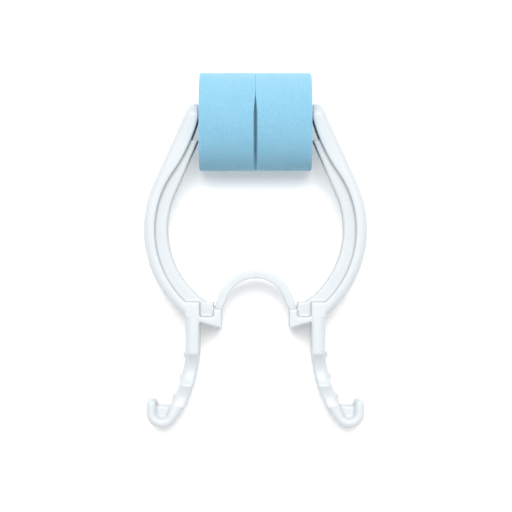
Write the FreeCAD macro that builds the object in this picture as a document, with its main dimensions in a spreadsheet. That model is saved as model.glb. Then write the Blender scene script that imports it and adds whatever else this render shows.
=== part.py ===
import FreeCAD, Part
import math
import os
import sys

import Sketcher
from FreeCAD import Placement, Rotation, Vector

# Disposable nose clip, in millimetres. The clip lies flat: +X is its right side, +Y points to the foam
# pads, +Z is up. The origin is the bottom centre of the whole clip. One plastic moulding makes two levers
# and the thin bridge that joins them; every lever piece is drawn on the right and mirrored to the left.

doc = FreeCAD.newDocument("nose_clip")
sheet = doc.addObject("Spreadsheet::Sheet", "Sheet")

# alias, value, what it is
DIMENSIONS = [
    ("pad_diameter", 17.0, "foam pad diameter"),
    ("pad_length", 9.55, "foam pad length along X"),
    ("pad_gap", 0.3, "gap between the two pads at rest"),
    ("film", 0.15, "adhesive film thickness"),
    ("film_tall", 2.2, "adhesive film size along Y"),
    ("film_deep", 7.0, "adhesive film size along Z"),
    ("pad_y", 22.2, "pad axis height along Y"),
    ("mid_z", 8.5, "mid-plane of the moulding above the table side of the pads"),
    ("ring_y", 3.6, "centre of the jaw arms' round part"),
    ("ring_outer", 19.25, "outer radius of the jaw arms"),
    ("rim", 2.0, "thickness of the jaw arm's outer strip"),
    ("web_inner", 15.2, "inner radius of the jaw arm's web"),
    ("outer_turn", 25.0, "angle where the arm's outer face leaves the ring"),
    ("inner_turn", 33.0, "angle where the arm's inner wall leaves the ring"),
    ("sweep", 30.0, "radius of the arm's inner wall towards the pad"),
    ("seat_x", 9.85, "pad seat face"),
    ("seat_low", 0.4, "pad seat start above the pad axis"),
    ("seat_high", 2.9, "pad seat end above the pad axis"),
    ("tip_x", 11.3, "outer corner of the jaw tip"),
    ("tip_high", 3.1, "outer corner of the jaw tip above the pad axis"),
    ("web_drop", 3.3, "top of the web below the pad axis"),
    ("deep", 9.0, "depth of the strip and handle along Z"),
    ("web_deep", 6.6, "depth of the webs along Z"),
    ("tip_round", 2.2, "rounding of the jaw tip seen from the side"),
    ("outer_round", 1.0, "rounding of the outer edges that fingers touch"),
    ("inner_round", 0.5, "rounding of the handle's inner edges"),
    ("web_sink", 0.3, "how far a web runs into the ribs around it"),
    ("web_clear", 0.05, "how far the end of the jaw web stays off the plane of the pad seat"),
    ("grip_in", 9.6, "handle inner face"),
    ("grip_out", 12.05, "handle outer face"),
    ("waist_y", -8.95, "top of the solid waist between arm and handle"),
    ("grip_y", -11.6, "top of the handle"),
    ("bend_y", -16.44, "where the handle starts to bend outward"),
    ("bend", 22.0, "radius of the handle's centre line"),
    ("bend_angle", 28.0, "how far the handle turns outward"),
    ("scallop", 4.2, "radius of the grip scallops"),
    ("scallop_cut", 1.15, "depth of the first scallop"),
    ("scallop_less", 0.4, "how much shallower the second scallop is"),
    ("scallop_a", -20.8, "first scallop along Y"),
    ("scallop_b", -25.3, "second scallop along Y"),
    ("ridge", 0.5, "radius of the grip ridges"),
    ("ridge_sink", 0.1, "how far inside the grip's outer face a ridge has its centre"),
    ("ridge_deep", 4.4, "length of the grip ridges along Z"),
    ("ridge_first", 4.5, "angle of the first ridge along the bend"),
    ("ridge_pitch", 10.3, "angle from ridge to ridge"),
    ("hook_x", 16.1, "centre of the finger hook"),
    ("hook_y", -28.0, "centre of the finger hook"),
    ("hook_outer", 2.7, "outer radius of the finger hook"),
    ("hook_round_edge", 0.8, "rounding of the finger hook's edges"),
    ("hook_inner", 0.9, "inner radius of the finger hook"),
    ("hook_join_out", 35.6, "angle where the handle's inner side meets the hook's outer round"),
    ("hook_join_in", 20.0, "angle where the handle's outer side meets the hook's inner round"),
    ("hook_tip", -26.6, "where the hook's rounded tip starts"),
    ("hook_deep", 8.0, "depth of the finger hook along Z"),
    ("hook_web", -26.9, "top of the web inside the hook"),
    ("hook_web_lean", 0.7, "how far the top of the hook's web runs into the leaning handle"),
    ("arch_y", -10.2, "centre of the spring bridge"),
    ("arch_outer", 6.75, "outer radius of the bridge"),
    ("arch_inner", 5.3, "inner radius of the bridge"),
    ("arch_deep", 5.0, "depth of the bridge along Z"),
    ("crown", 50.0, "angle of the stiff crown of the bridge"),
    ("root_angle", 14.0, "angle where the bridge starts to widen into its root"),
    ("foot_in", 5.8, "inner face of the spring foot"),
    ("foot_out", 7.2, "outer face of the spring foot's inner rib"),
    ("foot_low", -13.5, "lowest corner of the spring foot"),
    ("foot_side", -12.4, "lower edge of the foot's strut at the handle"),
    ("strut_y", -11.5, "upper edge of the foot's strut"),
]

for row, (alias, value, meaning) in enumerate(DIMENSIONS, start=1):
    sheet.set(f"A{row}", meaning)
    sheet.set(f"B{row}", str(value))
    sheet.setAlias(f"B{row}", alias)
doc.recompute()


def cell(text):
    """Puts the sheet's name before every alias in an expression."""
    words = {alias for alias, _, _ in DIMENSIONS}
    out, word = "", ""
    for letter in text + " ":
        if letter.isalnum() or letter == "_":
            word += letter
            continue
        out += ("Sheet." + word if word in words else word) + letter
        word = ""
    return out.strip()


def value_of(text):
    """The value of an expression of aliases, for a sketch's first guess before it is solved."""
    answer = sheet.evalExpression(cell(text))
    return float(getattr(answer, "Value", answer))


def make_body(name):
    body = doc.addObject("PartDesign::Body", name)
    body.Label = name
    return body


def make_sketch(body, name, role="XY_Plane"):
    sketch = body.newObject("Sketcher::SketchObject", name)
    plane = [o for o in body.Origin.OriginFeatures if o.Role == role][0]
    sketch.AttachmentSupport = [(plane, "")]
    sketch.MapMode = "FlatFace"
    return sketch


def bind(sketch, kind, places, number, text):
    """Adds one driving dimension and binds it to the sheet."""
    index = sketch.addConstraint(Sketcher.Constraint(kind, *places, number))
    sketch.setExpression(f"Constraints[{index}]", cell(text))


def pin(sketch, edge, end, x_text, y_text):
    """Holds one end of an edge at a place that the sheet gives."""
    bind(sketch, "DistanceX", (-1, 1, edge, end), value_of(x_text), x_text)
    bind(sketch, "DistanceY", (-1, 1, edge, end), value_of(y_text), y_text)


def arc_through(start, end, radius, left):
    """A counter-clockwise arc edge of that radius from start to end, or the other way when left is False."""
    a, b = (start, end) if left else (end, start)
    chord = b - a
    middle = (a + b) * 0.5
    height = math.sqrt(max(radius**2 - (chord.Length / 2) ** 2, 0.0))
    side = Vector(-chord.y, chord.x, 0).normalize()
    centre = middle + side * height
    first = math.atan2(a.y - centre.y, a.x - centre.x)
    last = math.atan2(b.y - centre.y, b.x - centre.x)
    if last < first:
        last += 2 * math.pi
    return Part.ArcOfCircle(Part.Circle(centre, Vector(0, 0, 1), radius), first, last)


def outline(sketch, corners):
    """Draws a closed outline. Each corner is (x, y, leg): leg is None for a straight edge to the next
    corner, or (radius, left), an arc that turns left or right. All texts are expressions of the sheet."""
    points = [Vector(value_of(x), value_of(y), 0) for x, y, _ in corners]
    for i, (x_text, y_text, leg) in enumerate(corners):
        start, end = points[i], points[(i + 1) % len(points)]
        if leg is None:
            edge = sketch.addGeometry(Part.LineSegment(start, end), False)
            own_end = 1
        else:
            radius_text, left = leg
            edge = sketch.addGeometry(arc_through(start, end, value_of(radius_text), left), False)
            own_end = 1 if left else 2
            bind(sketch, "Radius", (edge,), value_of(radius_text), radius_text)
        pin(sketch, edge, own_end, x_text, y_text)
    count = len(corners)
    for i in range(count):
        this_end = 1 if corners[i][2] is not None and not corners[i][2][1] else 2
        following = (i + 1) % count
        next_start = 2 if corners[following][2] is not None and not corners[following][2][1] else 1
        sketch.addConstraint(Sketcher.Constraint("Coincident", i, this_end, following, next_start))


def pad_both_ways(body, sketch, name, depth_text):
    pad = body.newObject("PartDesign::Pad", name)
    pad.Profile = sketch
    pad.Midplane = True
    pad.setExpression("Length", cell(depth_text))
    sketch.Visibility = False
    return pad


def round_edges(body, base, name, radius_text, wanted):
    """Rounds the edges of the base feature for which wanted(points along the edge) is true."""
    doc.recompute()
    names = []
    for number, edge in enumerate(base.Shape.Edges, start=1):
        if len(edge.Vertexes) == 2 and wanted(edge.discretize(5)):
            names.append(f"Edge{number}")
    if not names:
        sys.exit(f"{name} finds no edge")
    rounding = body.newObject("PartDesign::Fillet", name)
    rounding.Base = (base, names)
    rounding.setExpression("Radius", cell(radius_text))
    base.Visibility = False
    body.Tip = rounding
    doc.recompute()
    return rounding


def on_face_rim(points, depth_text):
    """True for an edge that lies in the front or back face of a pad of that depth."""
    half = value_of(depth_text) / 2
    in_one_face = abs(points[0].z - points[-1].z) < 0.01
    return in_one_face and all(abs(abs(p.z) - half) < 0.01 for p in points)


def place_at_middle(part):
    part.Placement = Placement(Vector(0, 0, value_of("mid_z")), Rotation())
    part.setExpression("Placement.Base.z", cell("mid_z"))


def ring(radius, angle):
    """A corner on a circle about the centre of the jaw arms' round part."""
    return f"({radius}) * cos({angle})", f"ring_y + ({radius}) * sin({angle})"


def ring_at_x(radius, x_text):
    """The lower corner where a circle about the ring's centre meets a vertical line."""
    return x_text, f"ring_y - sqrt(({radius})^2 - ({x_text})^2)"


def ring_at_y(radius, y_text):
    return f"sqrt(({radius})^2 - ({y_text} - ring_y)^2)", y_text


def grip(radius, angle):
    """A corner on the handle's bend, whose centre lies outside the clip."""
    centre = "((grip_in + grip_out) / 2 + bend)"
    return f"{centre} - ({radius}) * cos({angle})", f"bend_y - ({radius}) * sin({angle})"


def hook_round(radius, angle):
    """A corner on a circle about the hook's centre, the angle taken down from -X."""
    return f"hook_x - {radius} * cos({angle})", f"hook_y - {radius} * sin({angle})"


def jaw_arm():
    """T-section arm: a deep outer strip, a shallow web inside it, the pad seat and the solid waist."""
    body = make_body("right_jaw_arm")
    strip = make_sketch(body, "jaw_strip")
    inner = "ring_outer - rim"
    outline(strip, [
        (*ring_at_x("ring_outer", "grip_out"), ("ring_outer", True)),
        (*ring("ring_outer", "outer_turn"), None),
        ("tip_x", "pad_y + tip_high", None),
        ("seat_x", "pad_y + seat_high", None),
        ("seat_x", "pad_y + seat_low", ("sweep", True)),
        (*ring(inner, "inner_turn"), (inner, False)),
        ("grip_out", "waist_y", None),
        ("grip_in", "waist_y", None),
        ("grip_in", "grip_y", None),
        ("grip_out", "grip_y", None),
    ])
    strip_pad = pad_both_ways(body, strip, "jaw_strip_pad", "deep")

    top = value_of("pad_y + seat_high")
    outer = value_of("ring_outer")
    ring_y = value_of("ring_y")
    corner = Vector(value_of("tip_x"), value_of("pad_y + tip_high"), 0)
    leave = Vector(*[value_of(text) for text in ring("ring_outer", "outer_turn")], 0)

    def along_tip(points):
        return on_face_rim(points, "deep") and all(p.y > top - 0.01 for p in points)

    def along_outside(points):
        flat = [Vector(p.x, p.y, 0) for p in points]
        round_part = all(abs(math.hypot(p.x, p.y - ring_y) - outer) < 0.02 for p in flat)
        straight_part = all(p.distanceToLine(leave, corner - leave) < 0.02 for p in flat)
        return abs(points[0].z - points[-1].z) < 0.01 and (round_part or straight_part)

    tip = round_edges(body, strip_pad, "jaw_tip_rounding", "tip_round", along_tip)
    round_edges(body, tip, "jaw_outer_rounding", "outer_round", along_outside)

    web = make_sketch(body, "jaw_web")
    middle = "ring_outer - rim / 2"
    outline(web, [
        (*ring_at_x(middle, "grip_out"), (middle, True)),
        (*ring(middle, "(outer_turn + inner_turn) / 2"), None),
        ("tip_x + rim / 2", "pad_y - web_drop", None),
        ("seat_x + web_clear", "pad_y - web_drop", None),
        (*ring("web_inner", "outer_turn"), ("web_inner", False)),
        (*ring_at_y("web_inner", "waist_y"), None),
        ("grip_out", "waist_y", None),
    ])
    body.Tip = pad_both_ways(body, web, "jaw_web_pad", "web_deep")
    return body


def spring_foot():
    """L of two ribs, the bridge leg's root and a strut, with a shallow web in its corner."""
    body = make_body("right_spring_foot")
    ribs = make_sketch(body, "foot_ribs")
    outline(ribs, [
        ("foot_in", "arch_y", None),
        ("foot_in", "foot_low", None),
        ("grip_in", "foot_side", None),
        ("grip_in", "strut_y", None),
        ("foot_out", "strut_y", None),
        ("foot_out", "arch_y", None),
    ])
    pad_both_ways(body, ribs, "foot_ribs_pad", "deep")
    web = make_sketch(body, "foot_web")
    outline(web, [
        ("foot_out", "strut_y - web_sink", None),
        ("grip_in", "strut_y - web_sink", None),
        ("grip_in", "waist_y", None),
        ("foot_out", "waist_y", None),
    ])
    body.Tip = pad_both_ways(body, web, "foot_web_pad", "web_deep")
    return body


def handle():
    """Straight shank and outward-bending grip, with scallops in both edges and ridges outside."""
    body = make_body("right_handle")
    bar = make_sketch(body, "handle_bar")
    half = "(grip_out - grip_in) / 2"
    outline(bar, [
        ("grip_in", "grip_y", None),
        ("grip_in", "bend_y", (f"bend + {half}", True)),
        (*grip(f"bend + {half}", "bend_angle"), None),
        (*grip(f"bend - {half}", "bend_angle"), (f"bend - {half}", False)),
        ("grip_out", "bend_y", None),
        ("grip_out", "grip_y", None),
    ])
    pad_both_ways(body, bar, "handle_bar_pad", "deep")

    ridges = make_sketch(body, "handle_ridges")
    for number in range(3):
        angle = f"ridge_first + {number} * ridge_pitch"
        x_text, y_text = grip(f"bend - {half} + ridge_sink", angle)
        centre = Vector(value_of(x_text), value_of(y_text), 0)
        circle = ridges.addGeometry(Part.Circle(centre, Vector(0, 0, 1), value_of("ridge")), False)
        pin(ridges, circle, 3, x_text, y_text)
        bind(ridges, "Radius", (circle,), value_of("ridge"), "ridge")
    pad_both_ways(body, ridges, "handle_ridges_pad", "ridge_deep")

    cut_scallops(body, "upper_scallops", "scallop_a", "scallop_cut")
    last = cut_scallops(body, "lower_scallops", "scallop_b", "scallop_cut - scallop_less")

    bend_x = value_of("(grip_in + grip_out) / 2 + bend")
    bend_y = value_of("bend_y")

    def along(points, straight_x, radius):
        """True for an edge in one side face of the handle that runs down the handle."""
        long_enough = abs(points[0].y - points[-1].y) > 0.5
        same_end = abs(points[0].z - points[-1].z) < 2.0 and abs(points[2].z) > 3.0
        upper = all(abs(p.x - straight_x) < 0.01 and p.y > bend_y - 0.01 for p in points)
        lower = all(abs(math.hypot(p.x - bend_x, p.y - bend_y) - radius) < 0.01 for p in points)
        return long_enough and same_end and (upper or lower)

    grip_in, grip_out = value_of("grip_in"), value_of("grip_out")
    last = round_edges(body, last, "handle_outer_rounding", "outer_round",
                       lambda points: along(points, grip_out, bend_x - grip_out))
    round_edges(body, last, "handle_inner_rounding", "inner_round",
                lambda points: along(points, grip_in, bend_x - grip_in))
    return body


def cut_scallops(body, name, y_text, cut_text):
    """Cuts one round hollow into each edge of the grip, right through it along X."""
    sketch = make_sketch(body, name, "YZ_Plane")
    for sign in ("", "-"):
        z_text = f"{sign}(deep / 2 + scallop - ({cut_text}))"
        centre = Vector(value_of(y_text), value_of(z_text), 0)
        circle = sketch.addGeometry(Part.Circle(centre, Vector(0, 0, 1), value_of("scallop")), False)
        pin(sketch, circle, 3, y_text, z_text)
        bind(sketch, "Radius", (circle,), value_of("scallop"), "scallop")
    doc.recompute()
    before = body.Shape.Volume
    cut = body.newObject("PartDesign::Pocket", name + "_pocket")
    cut.Profile = sketch
    cut.Type = "ThroughAll"
    cut.Midplane = True
    sketch.Visibility = False
    body.Tip = cut
    doc.recompute()
    if body.Shape.Volume >= before:
        sys.exit(f"{name} cut nothing")
    return cut


def finger_hook():
    """Turned-up end of the handle: a deep rim round a shallow web."""
    body = make_body("right_finger_hook")
    rim = make_sketch(body, "hook_rim")
    half = "(grip_out - grip_in) / 2"
    tip = "((hook_outer - hook_inner) / 2)"
    outline(rim, [
        (*grip(f"bend + {half}", "bend_angle"), None),
        (*hook_round("hook_outer", "hook_join_out"), ("hook_outer", True)),
        ("hook_x + hook_outer", "hook_y", None),
        ("hook_x + hook_outer", "hook_tip", (tip, True)),
        ("hook_x + (hook_outer + hook_inner) / 2", f"hook_tip + {tip}", (tip, True)),
        ("hook_x + hook_inner", "hook_tip", None),
        ("hook_x + hook_inner", "hook_y", ("hook_inner", False)),
        (*hook_round("hook_inner", "hook_join_in"), None),
        (*grip(f"bend - {half}", "bend_angle"), None),
    ])
    rim_pad = pad_both_ways(body, rim, "hook_rim_pad", "hook_deep")
    ends = [grip(f"bend + {half}", "bend_angle"), grip(f"bend - {half}", "bend_angle")]
    start, end = [Vector(value_of(x), value_of(y), 0) for x, y in ends]

    def outline_edge(points):
        flat = [Vector(p.x, p.y, 0) for p in points]
        at_handle = all(p.distanceToLine(start, end - start) < 0.01 for p in flat)
        return on_face_rim(points, "hook_deep") and not at_handle

    round_edges(body, rim_pad, "hook_rounding", "hook_round_edge", outline_edge)
    web = make_sketch(body, "hook_web_outline")
    outline(web, [
        ("hook_x - hook_inner - hook_web_lean", "hook_web", None),
        ("hook_x - hook_inner - web_sink", "hook_y - hook_inner", None),
        ("hook_x + hook_inner + web_sink", "hook_y - hook_inner", None),
        ("hook_x + hook_inner + web_sink", "hook_web", None),
    ])
    body.Tip = pad_both_ways(body, web, "hook_web_pad", "web_deep")
    return body


def bend_corner(radius, angle):
    """A corner on a circle about the centre of the spring bridge."""
    return f"({radius}) * cos({angle})", f"arch_y + ({radius}) * sin({angle})"


def bridge_leg():
    """The bending side of the bridge, which widens into its root at the foot."""
    body = make_body("right_bridge_leg")
    band = make_sketch(body, "leg_band")
    outline(band, [
        ("foot_out", "arch_y", None),
        (*bend_corner("arch_outer", "root_angle"), ("arch_outer", True)),
        (*bend_corner("arch_outer", "90 - crown / 2"), None),
        (*bend_corner("arch_inner", "90 - crown / 2"), ("arch_inner", False)),
        (*bend_corner("arch_inner", "root_angle"), None),
        ("foot_in", "arch_y", None),
    ])
    body.Tip = pad_both_ways(body, band, "leg_pad", "arch_deep")
    return body


def bridge_crown():
    """The stiff middle of the bridge."""
    body = make_body("bridge_crown")
    band = make_sketch(body, "crown_band")
    outline(band, [
        (*bend_corner("arch_outer", "90 - crown / 2"), ("arch_outer", True)),
        (*bend_corner("arch_outer", "90 + crown / 2"), None),
        (*bend_corner("arch_inner", "90 + crown / 2"), ("arch_inner", False)),
        (*bend_corner("arch_inner", "90 - crown / 2"), None),
    ])
    body.Tip = pad_both_ways(body, band, "crown_pad", "arch_deep")
    return body


def foam_pad():
    pad = doc.addObject("Part::Cylinder", "right_foam_pad")
    pad.Label = "right_foam_pad"
    pad.setExpression("Radius", cell("pad_diameter / 2"))
    pad.setExpression("Height", cell("pad_length"))
    pad.Placement = Placement(Vector(0, 0, 0), Rotation(Vector(0, 1, 0), 90))
    pad.setExpression("Placement.Base.x", cell("pad_gap / 2"))
    pad.setExpression("Placement.Base.y", cell("pad_y"))
    pad.setExpression("Placement.Base.z", cell("mid_z"))
    return pad


def pad_adhesive():
    film = doc.addObject("Part::Box", "right_pad_adhesive")
    film.Label = "right_pad_adhesive"
    film.setExpression("Length", cell("film"))
    film.setExpression("Width", cell("film_tall"))
    film.setExpression("Height", cell("film_deep"))
    film.Placement = Placement(Vector(0, 0, 0), Rotation())
    film.setExpression("Placement.Base.x", cell("seat_x - film"))
    film.setExpression("Placement.Base.y", cell("pad_y + (seat_low + seat_high - film_tall) / 2"))
    film.setExpression("Placement.Base.z", cell("mid_z - film_deep / 2"))
    return film


def mirrored(part):
    """The left-hand twin of a right-hand piece."""
    name = part.Label.replace("right_", "left_")
    twin = doc.addObject("Part::Mirroring", name)
    twin.Label = name
    twin.Source = part
    twin.Base = Vector(0, 0, 0)
    twin.Normal = Vector(1, 0, 0)
    return twin


moulded = [jaw_arm(), spring_foot(), handle(), finger_hook()]
moulded.append(bridge_leg())
crown = bridge_crown()
for piece in [*moulded, crown]:
    place_at_middle(piece)

right_side = [*moulded, foam_pad(), pad_adhesive()]
doc.recompute()
left_side = [mirrored(piece) for piece in right_side]
doc.recompute()

for item in doc.Objects:
    if {"Invalid", "Error"} & set(item.State):
        sys.exit(f"{item.Label} failed: {item.State}")

os.makedirs("parts", exist_ok=True)
for piece in [*right_side, crown, *left_side]:
    shape = piece.Shape
    if shape.isNull() or not shape.isValid() or shape.Volume <= 0:
        sys.exit(f"{piece.Label} has no valid solid")
    if len(shape.Solids) != 1:
        sys.exit(f"{piece.Label} is {len(shape.Solids)} solids")
    shape.exportStep(f"parts/{piece.Label}.step")
    box = shape.BoundBox
    print(f"{piece.Label}: {shape.Volume:.1f} mm3, x {box.XMin:.2f} to {box.XMax:.2f}, "
          f"y {box.YMin:.2f} to {box.YMax:.2f}, z {box.ZMin:.2f} to {box.ZMax:.2f}")
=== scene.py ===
import math

import bmesh
import bpy
import numpy as np
from mathutils import Matrix, Vector, noise


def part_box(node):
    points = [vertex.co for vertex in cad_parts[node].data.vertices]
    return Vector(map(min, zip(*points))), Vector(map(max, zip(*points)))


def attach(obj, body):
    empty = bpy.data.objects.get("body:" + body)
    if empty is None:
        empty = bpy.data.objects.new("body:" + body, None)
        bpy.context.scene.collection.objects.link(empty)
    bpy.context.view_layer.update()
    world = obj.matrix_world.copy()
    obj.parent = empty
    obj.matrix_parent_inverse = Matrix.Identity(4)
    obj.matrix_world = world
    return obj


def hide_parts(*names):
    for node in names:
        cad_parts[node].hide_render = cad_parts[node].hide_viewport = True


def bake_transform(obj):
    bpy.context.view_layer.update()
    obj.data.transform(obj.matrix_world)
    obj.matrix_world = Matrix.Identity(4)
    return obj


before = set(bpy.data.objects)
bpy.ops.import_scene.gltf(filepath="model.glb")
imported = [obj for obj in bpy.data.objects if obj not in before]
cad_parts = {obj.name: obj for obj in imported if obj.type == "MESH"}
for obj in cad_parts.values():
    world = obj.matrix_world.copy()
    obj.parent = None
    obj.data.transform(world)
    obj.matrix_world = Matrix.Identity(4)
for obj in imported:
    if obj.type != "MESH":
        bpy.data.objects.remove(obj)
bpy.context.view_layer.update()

MM = 0.001
SIGN = {"left": -1.0, "right": 1.0}

# Sizes and places that the looks depend on, in metres, in the row frame, taken from the CAD nodes.
PAD_LOW, PAD_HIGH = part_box("right_foam_pad")
PAD_LONG = PAD_HIGH[0]
PAD_R = (PAD_HIGH[1] - PAD_LOW[1]) / 2
PAD_Y = (PAD_HIGH[1] + PAD_LOW[1]) / 2
MID_Z = (PAD_HIGH[2] + PAD_LOW[2]) / 2
ARCH_THICK = 1.45 * MM
LEG_LOW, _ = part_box("right_bridge_leg")
_, CROWN_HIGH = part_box("bridge_crown")
ARCH_Y = LEG_LOW[1]
ARCH_R = CROWN_HIGH[1] - ARCH_Y - ARCH_THICK / 2

# The camera looks straight down: its place over the clip, and the width that it sees at the clip's
# mid-plane.
CAMERA_X, CAMERA_Y, CAMERA_UP = 0.09 * MM, -1.05 * MM, 0.42
CAMERA_WIDE = 0.0888

# The light: how bright the room is on the handles' side and on the pads' side, and the lamp's power, its
# spread and how far it leans over to the pads' side, in degrees.
ROOM_FRONT, ROOM_BACK = 0.70, 1.04
LAMP_POWER, LAMP_SPREAD, LAMP_LEAN = 2.9, 32.0, 20.0

# The table: half its side, its rows of faces, the gap under the pads, where its slope begins and ends,
# and over how far each end eases out.
TABLE_HALF, TABLE_ROWS, TABLE_GAP = 1.5, 1500, 0.05 * MM
SLOPE_FRONT, SLOPE_BACK, SLOPE_EASE = -54.0 * MM, 26.0 * MM, 20.0 * MM

# The moulding: the nodes that a lever and half a bridge replace, how finely each is fused, and how often
# it is relaxed.
LEVER_NODES = ("jaw_arm", "spring_foot", "handle", "finger_hook")
BRIDGE_NODES = {"left": ("bridge_crown", "left_bridge_leg"), "right": ("right_bridge_leg",)}
LEVER_VOXEL, LEVER_ROUNDS = 0.15 * MM, 8
BRIDGE_VOXEL, BRIDGE_ROUNDS = 0.12 * MM, 8

# The end of a bridge leg inside its foot: its size, and how far its centre lies outside and below the
# end of the arch.
PLUG_SIZE = (1.3 * MM, 1.6 * MM, 4.96 * MM)
PLUG_OUT, PLUG_DOWN = 0.48 * MM, 0.7 * MM

# Marks of the mould: the parting line's half width and height, how steep a face has to be for each mark
# (its normal's share along Z), and the ejector pins' places on the right side, radius, edge and depth.
PARTING_WIDE, PARTING_HIGH = 0.22 * MM, 0.035 * MM
UPRIGHT, FACING_DOWN = 0.3, -0.85
PIN_PLACES_MM = ((10.8, -10.2), (10.8, -14.4), (18.2, 2.0), (14.2, 17.4))
PIN_R, PIN_EDGE, PIN_DEEP = 0.85 * MM, 0.16 * MM, 0.07 * MM

# The foam pads: rounding of the rims, and how finely they are meshed.
INNER_RIM = 0.1 * MM
OUTER_RIM = 0.35 * MM
AROUND, SIDE_STEPS, FACE_STEPS, RIM_STEPS = 340, 56, 34, 4

# The slit between the pads: half its width, how far behind the pads' axis it ends, and over how far it
# fades there. As shares of the height from the mid-plane to the rim: where it starts at that end, how
# much deeper it goes where it is widest, and over how much it opens.
SLIT_HALF, SLIT_END, SLIT_FADE = 0.31 * MM, 5.3 * MM, 4.8 * MM
SLIT_START, SLIT_DEEPER, SLIT_OPENS = 0.90, 0.18, 0.14

# The foam's skin: height in millimetres, and waves or cells to a millimetre.
SWELL, SWELL_RATE = 0.05, 0.45
LUMP, LUMP_RATE = 0.03, 2.0
PIT, PIT_RATE, PIT_NARROW = 0.05, 1.9, 2.6


def placed(name, data):
    """A new object in the scene, made of a mesh, a light or a camera."""
    thing = bpy.data.objects.new(name, data)
    bpy.context.collection.objects.link(thing)
    return thing


def smooth(piece):
    """Smooth shading on every face."""
    for polygon in piece.data.polygons:
        polygon.use_smooth = True


def smoothstep(t):
    """Rises from 0 to 1 with level ends while t goes from 0 to 1."""
    t = min(max(t, 0.0), 1.0)
    return t * t * (3.0 - 2.0 * t)


# ---------------------------------------------------------------- camera, table and light

def add_camera():
    """Straight down on the clip, with the pads at the top of the frame."""
    data = bpy.data.cameras.new("camera")
    data.sensor_width = 36.0
    data.lens = data.sensor_width * CAMERA_UP / CAMERA_WIDE
    data.clip_start, data.clip_end = 0.01, 10.0
    camera = placed("camera", data)
    camera.location = (CAMERA_X, CAMERA_Y, MID_Z + CAMERA_UP)
    bpy.context.scene.camera = camera


def table_tilt():
    """Angle of the table to the clip's own base plane. The clip leans on its two thick pads and on the
    ends of its thinner handles, so it lies a little head down."""
    lowest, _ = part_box("right_handle")
    along, above = PAD_Y - lowest[1], MID_Z - lowest[2]
    return math.asin(PAD_R / math.hypot(along, above)) - math.atan2(above, along)


def ramp(t):
    """Rises from 0 with a slope that eases from 0 to 1 while t goes from 0 to 1."""
    t = max(t, 0.0)
    return t**3 - t**4 / 2 if t < 1.0 else t - 0.5


def add_floor():
    """A white table top. It slopes under the clip and levels out in front of it and behind it, so that
    it doesn't block a low view."""
    tilt = table_tilt()
    height = MID_Z + math.tan(tilt) * PAD_Y - (PAD_R + TABLE_GAP) / math.cos(tilt)
    start = ramp(-SLOPE_FRONT / SLOPE_EASE)
    bm = bmesh.new()
    bmesh.ops.create_grid(bm, x_segments=1, y_segments=TABLE_ROWS, size=TABLE_HALF)
    for vert in bm.verts:
        y = vert.co.y
        run = ramp((y - SLOPE_FRONT) / SLOPE_EASE) - ramp((y - SLOPE_BACK) / SLOPE_EASE)
        vert.co.z = height - math.tan(tilt) * SLOPE_EASE * (run - start)
    mesh = bpy.data.meshes.new("floor")
    bm.to_mesh(mesh)
    bm.free()
    mesh.materials.append(table_material())
    floor = placed("floor", mesh)
    smooth(floor)


def add_light():
    """A bright room, a little darker on the handles' side, and one broad soft lamp over the pads."""
    scene = bpy.context.scene
    scene.view_settings.view_transform = "Standard"
    scene.view_settings.look = "None"
    world = bpy.data.worlds.new("studio")
    world.use_nodes = True
    nodes, links = world.node_tree.nodes, world.node_tree.links
    direction = nodes.new("ShaderNodeTexCoord")
    parts = nodes.new("ShaderNodeSeparateXYZ")
    links.new(direction.outputs["Generated"], parts.inputs["Vector"])
    level = nodes.new("ShaderNodeMapRange")
    put(level, {"From Min": -1.0, "From Max": 1.0, "To Min": ROOM_FRONT, "To Max": ROOM_BACK})
    links.new(parts.outputs["Y"], level.inputs["Value"])
    background = nodes["Background"]
    put(background, {"Color": (1.0, 1.0, 1.0, 1.0)})
    links.new(level.outputs["Result"], background.inputs["Strength"])
    scene.world = world
    key = bpy.data.lights.new("key", "SUN")
    key.energy = LAMP_POWER
    key.angle = math.radians(LAMP_SPREAD)
    lamp = placed("key", key)
    lamp.rotation_euler = (-math.radians(LAMP_LEAN), 0.0, 0.0)


# ---------------------------------------------------------------- materials

def put(node, values):
    """Sets a node's own inputs by name."""
    for name, value in values.items():
        node.inputs[name].default_value = value


def new_material(name):
    """A material, with its nodes, its links and its shader."""
    material = bpy.data.materials.new(name)
    material.use_nodes = True
    tree = material.node_tree
    return material, tree.nodes, tree.links, tree.nodes["Principled BSDF"]


def texture(nodes, links, kind, values):
    """A texture node that is fixed to the piece's own coordinates."""
    place = nodes.new("ShaderNodeTexCoord")
    node = nodes.new(kind)
    put(node, values)
    links.new(place.outputs["Object"], node.inputs["Vector"])
    return node


def mixed(nodes, links, factor, first, second):
    """Mixes two colours by a factor. Each is a fixed colour or an output of another node."""
    mix = nodes.new("ShaderNodeMix")
    mix.data_type = "RGBA"
    for name, colour in (("A", first), ("B", second)):
        if isinstance(colour, tuple):
            mix.inputs[name].default_value = colour
        else:
            links.new(colour, mix.inputs[name])
    links.new(factor, mix.inputs["Factor"])
    return mix.outputs["Result"]


def add_bump(nodes, links, shader, height, values):
    """Roughens the shader's surface by a height that another node gives."""
    bump = nodes.new("ShaderNodeBump")
    put(bump, values)
    links.new(height, bump.inputs["Height"])
    links.new(bump.outputs["Normal"], shader.inputs["Normal"])


def table_material():
    """Matt white, lit faintly from below as a light table is."""
    material, _, _, shader = new_material("table_white")
    put(shader, {
        "Base Color": (0.9, 0.9, 0.9, 1.0),
        "Roughness": 0.9,
        "Specular IOR Level": 0.0,
        "Emission Color": (1.0, 1.0, 1.0, 1.0),
        "Emission Strength": 0.1,
    })
    return material


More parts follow.
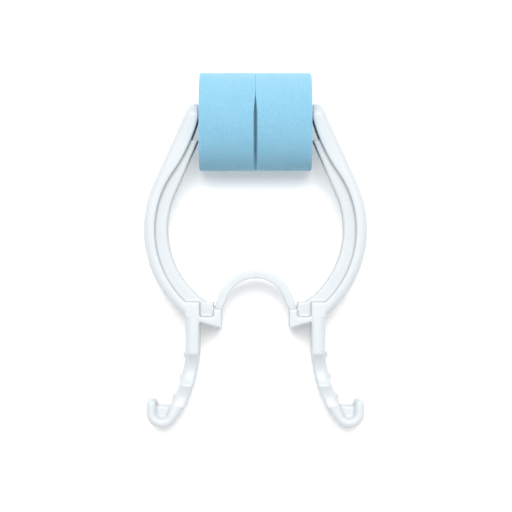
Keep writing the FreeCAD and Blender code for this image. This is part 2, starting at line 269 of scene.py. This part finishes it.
def plastic_material():
    """Milky polypropylene: faintly cloudy, with a fine grain from the mould."""
    material, nodes, links, shader = new_material("moulded_plastic")
    cloud = texture(nodes, links, "ShaderNodeTexNoise", {"Scale": 160.0, "Detail": 3.0})
    dull, clear = (0.455, 0.487, 0.507, 1.0), (0.49, 0.517, 0.532, 1.0)
    links.new(mixed(nodes, links, cloud.outputs["Fac"], dull, clear), shader.inputs["Base Color"])
    grain = texture(nodes, links, "ShaderNodeTexNoise", {"Scale": 3500.0, "Detail": 2.0})
    add_bump(nodes, links, shader, grain.outputs["Fac"], {"Strength": 0.12, "Distance": 0.04 * MM})
    put(shader, {
        "Roughness": 0.42,
        "IOR": 1.49,
        "Subsurface Weight": 0.25,
        "Subsurface Radius": (1.2 * MM, 1.4 * MM, 1.5 * MM),
        "Subsurface Scale": 1.0,
    })
    return material


def foam_material():
    """Fine open-cell foam: pores dent it, painted shade darkens each pore's middle so its walls look
    paler, and light spreads inside it.
    """
    material, nodes, links, shader = new_material("blue_foam")
    pores = texture(nodes, links, "ShaderNodeTexVoronoi", {"Scale": 3000.0})
    patches = texture(nodes, links, "ShaderNodeTexNoise", {"Scale": 420.0, "Detail": 4.0})
    deep, pale = (0.168, 0.372, 0.492, 1.0), (0.184, 0.390, 0.512, 1.0)
    base = mixed(nodes, links, patches.outputs["Fac"], deep, pale)
    # Painted shade: each pore is darker in its middle and paler towards its walls, as if light fell into
    # the pits.
    pore_shade_mask = nodes.new("ShaderNodeMapRange")
    put(pore_shade_mask, {"From Min": 0.05, "From Max": 0.75, "To Min": 0.0, "To Max": 0.5})
    links.new(pores.outputs["Distance"], pore_shade_mask.inputs["Value"])
    lit_pore_wall_colour = (0.22, 0.425, 0.56, 1.0)
    links.new(mixed(nodes, links, pore_shade_mask.outputs["Result"], base, lit_pore_wall_colour), shader.inputs["Base Color"])
    add_bump(nodes, links, shader, pores.outputs["Distance"], {"Strength": 0.55, "Distance": 0.12 * MM})
    put(shader, {
        "Roughness": 0.95,
        "Specular IOR Level": 0.08,
        "Subsurface Weight": 0.35,
        "Subsurface Radius": (0.3 * MM, 0.8 * MM, 1.0 * MM),
        "Subsurface Scale": 1.0,
        "Sheen Weight": 0.2,
        "Sheen Roughness": 0.5,
        "Sheen Tint": (0.85, 0.95, 1.0, 1.0),
    })
    return material


def film_material():
    """Clear double-sided tape with a faint cloudy tint."""
    material, nodes, links, shader = new_material("adhesive_film")
    cloud = texture(nodes, links, "ShaderNodeTexNoise", {"Scale": 900.0})
    dull, clear = (0.62, 0.64, 0.58, 1.0), (0.74, 0.75, 0.70, 1.0)
    links.new(mixed(nodes, links, cloud.outputs["Fac"], dull, clear), shader.inputs["Base Color"])
    put(shader, {"Roughness": 0.25})
    return material


# ---------------------------------------------------------------- pieces

def copy_of(node):
    """A free copy of a CAD node's mesh, in the row frame."""
    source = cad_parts[node]
    mesh = source.data.copy()
    mesh.transform(source.matrix_world)
    return mesh


def joined(name, meshes):
    """One object that holds all the meshes."""
    bm = bmesh.new()
    for mesh in meshes:
        bm.from_mesh(mesh)
    whole = bpy.data.meshes.new(name)
    bm.to_mesh(whole)
    bm.free()
    return placed(name, whole)


def mould(piece, voxel, rounds):
    """Fuses the piece's solids into one mesh and softens their edges as a mould does."""
    fuse = piece.modifiers.new("fuse", "REMESH")
    fuse.mode = "VOXEL"
    fuse.voxel_size = voxel
    fuse.use_smooth_shade = True
    relax = piece.modifiers.new("relax", "SMOOTH")
    relax.factor = 0.5
    relax.iterations = rounds
    graph = bpy.context.evaluated_depsgraph_get()
    mesh = bpy.data.meshes.new_from_object(piece.evaluated_get(graph))
    piece.modifiers.clear()
    piece.data = mesh


def dress(piece, material):
    """Gives the whole piece one material and smooth shading."""
    piece.data.materials.clear()
    piece.data.materials.append(material)
    smooth(piece)


def coordinates(mesh, what):
    """The vertices' places or normals as a numpy array."""
    values = np.empty(len(mesh.vertices) * 3)
    if what == "normal":
        mesh.vertex_normals.foreach_get("vector", values)
    else:
        mesh.vertices.foreach_get("co", values)
    return values.reshape(-1, 3)


def add_mould_marks(piece, side):
    """A fine parting line round the mid-plane, and shallow ejector marks on the underside."""
    mesh = piece.data
    place, normal = coordinates(mesh, "place"), coordinates(mesh, "normal")
    shift = np.zeros(len(place))
    upright = np.abs(normal[:, 2]) < UPRIGHT
    facing_down = normal[:, 2] < FACING_DOWN
    near = np.clip(1.0 - np.abs(place[:, 2] - MID_Z) / PARTING_WIDE, 0.0, 1.0)
    shift += PARTING_HIGH * near * upright
    for x, y in PIN_PLACES_MM:
        distance = np.hypot(place[:, 0] - SIGN[side] * x * MM, place[:, 1] - y * MM)
        inside = np.clip((PIN_R - distance) / PIN_EDGE, 0.0, 1.0)
        shift -= PIN_DEEP * inside * facing_down
    place += normal * shift[:, None]
    mesh.vertices.foreach_set("co", place.ravel())
    mesh.update()


def add_lever(side, plastic):
    """The stiff part of one side: jaw arm, spring foot, handle and hook as one moulding."""
    names = [f"{side}_{part}" for part in LEVER_NODES]
    piece = joined(f"{side}_lever_moulding", [copy_of(name) for name in names])
    mould(piece, LEVER_VOXEL, LEVER_ROUNDS)
    add_mould_marks(piece, side)
    dress(piece, plastic)
    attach(piece, f"{side}_lever")
    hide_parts(*names)


def root_plug(side):
    """The end of the bridge leg that is buried in its foot."""
    mesh = bpy.data.meshes.new("plug")
    bm = bmesh.new()
    size = Matrix.Diagonal((*PLUG_SIZE, 1.0))
    move = Matrix.Translation((SIGN[side] * (ARCH_R + PLUG_OUT), ARCH_Y - PLUG_DOWN, MID_Z))
    bmesh.ops.create_cube(bm, size=1.0, matrix=move @ size)
    bm.to_mesh(mesh)
    bm.free()
    return mesh


def keep_side(piece, side):
    """Cuts the piece at the clip's middle, closes the cut, and keeps one side."""
    bm = bmesh.new()
    bm.from_mesh(piece.data)
    parts = bm.verts[:] + bm.edges[:] + bm.faces[:]
    outward = (SIGN[side], 0, 0)
    bmesh.ops.bisect_plane(bm, geom=parts, plane_co=(0, 0, 0), plane_no=outward, clear_inner=True)
    rim = [edge for edge in bm.edges if edge.is_boundary]
    for edge in rim:
        edge.smooth = False
    bmesh.ops.edgenet_fill(bm, edges=rim)
    bmesh.ops.recalc_face_normals(bm, faces=bm.faces)
    bm.to_mesh(piece.data)
    bm.free()


def add_bridge(side, plastic):
    """Half of the spring bridge, from the crown's middle to the foot."""
    names = ("bridge_crown", "left_bridge_leg", "right_bridge_leg")
    meshes = [copy_of(name) for name in names] + [root_plug("left"), root_plug("right")]
    piece = joined(f"{side}_bridge_moulding", meshes)
    mould(piece, BRIDGE_VOXEL, BRIDGE_ROUNDS)
    keep_side(piece, side)
    dress(piece, plastic)
    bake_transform(piece)
    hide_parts(*BRIDGE_NODES[side])


def pad_outline():
    """(x, radius) from the middle of the inner face, over the side, to the middle of the outer face."""
    quarter = [math.pi / 2 * i / RIM_STEPS for i in range(RIM_STEPS)]
    face = [i / FACE_STEPS for i in range(FACE_STEPS)]
    points = [(0.0, (PAD_R - INNER_RIM) * t) for t in face]
    for turn in quarter:
        points.append((INNER_RIM * (1 - math.cos(turn)), PAD_R - INNER_RIM * (1 - math.sin(turn))))
    straight = PAD_LONG - INNER_RIM - OUTER_RIM
    points += [(INNER_RIM + straight * i / SIDE_STEPS, PAD_R) for i in range(SIDE_STEPS)]
    for turn in quarter:
        x = PAD_LONG - OUTER_RIM * (1 - math.sin(turn))
        points.append((x, PAD_R - OUTER_RIM * (1 - math.cos(turn))))
    points += [(PAD_LONG, (PAD_R - OUTER_RIM) * (1 - t)) for t in face]
    points.append((PAD_LONG, 0.0))
    return points


def pad_slit(y, z):
    """How far the inner face draws back from its twin. The pads touch in the middle and at their top.
    From there down a narrow, shallow slit opens between their rims."""
    never_zero = 0.1 * MM
    rim = math.sqrt(max(PAD_R**2 - y**2, 0.0)) + never_zero
    along = smoothstep((SLIT_END - y) / SLIT_FADE)
    deep = smoothstep((abs(z) / rim - SLIT_START + SLIT_DEEPER * along) / SLIT_OPENS)
    return SLIT_HALF * along * deep


def foam_dent(place):
    """Height of the foam's skin at a place: slow unevenness, and small pits where cells are cut open."""
    here = place / MM
    distances, _ = noise.voronoi(here * PIT_RATE)
    pits = PIT * max(0.0, 1.0 - PIT_NARROW * distances[0])
    swell = SWELL * noise.noise(here * SWELL_RATE)
    lumps = LUMP * noise.noise(here * LUMP_RATE)
    return (swell + lumps - pits) * MM


def foam_ring(side, x, radius):
    """The places round the pad at one point of its outline. In the middle of a face it is one place."""
    count = AROUND if radius > 0.0 else 1
    places = []
    for k in range(count):
        turn = 2 * math.pi * k / count
        y, z = radius * math.cos(turn), radius * math.sin(turn)
        out = Vector((0.0, math.cos(turn), math.sin(turn))) * (radius / PAD_R)
        dent = foam_dent(Vector((SIGN[side] * x, y, z)))
        back = pad_slit(y, z) * (1.0 - x / PAD_LONG)
        places.append(Vector((SIGN[side] * (x + back), PAD_Y + y, MID_Z + z)) + out * dent)
    return places


def add_foam_pad(side, foam):
    """A soft short cylinder with rounded rims, cut from open-cell foam."""
    bm = bmesh.new()
    rings = []
    for x, radius in pad_outline():
        rings.append([bm.verts.new(place) for place in foam_ring(side, x, radius)])
    for first, second in zip(rings, rings[1:]):
        for k in range(AROUND):
            following = (k + 1) % AROUND
            corners = (first[k % len(first)], second[k % len(second)],
                       second[following % len(second)], first[following % len(first)])
            bm.faces.new(dict.fromkeys(corners))
    bmesh.ops.recalc_face_normals(bm, faces=bm.faces)
    mesh = bpy.data.meshes.new(f"{side}_foam_cushion")
    bm.to_mesh(mesh)
    bm.free()
    piece = placed(mesh.name, mesh)
    dress(piece, foam)
    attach(piece, f"{side}_lever")
    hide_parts(f"{side}_foam_pad")


plastic = plastic_material()
foam = foam_material()
film = film_material()
add_camera()
add_floor()
add_light()
for side in ("left", "right"):
    add_lever(side, plastic)
    add_bridge(side, plastic)
    add_foam_pad(side, foam)
    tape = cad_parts[f"{side}_pad_adhesive"]
    for slot in tape.material_slots:
        slot.material = film
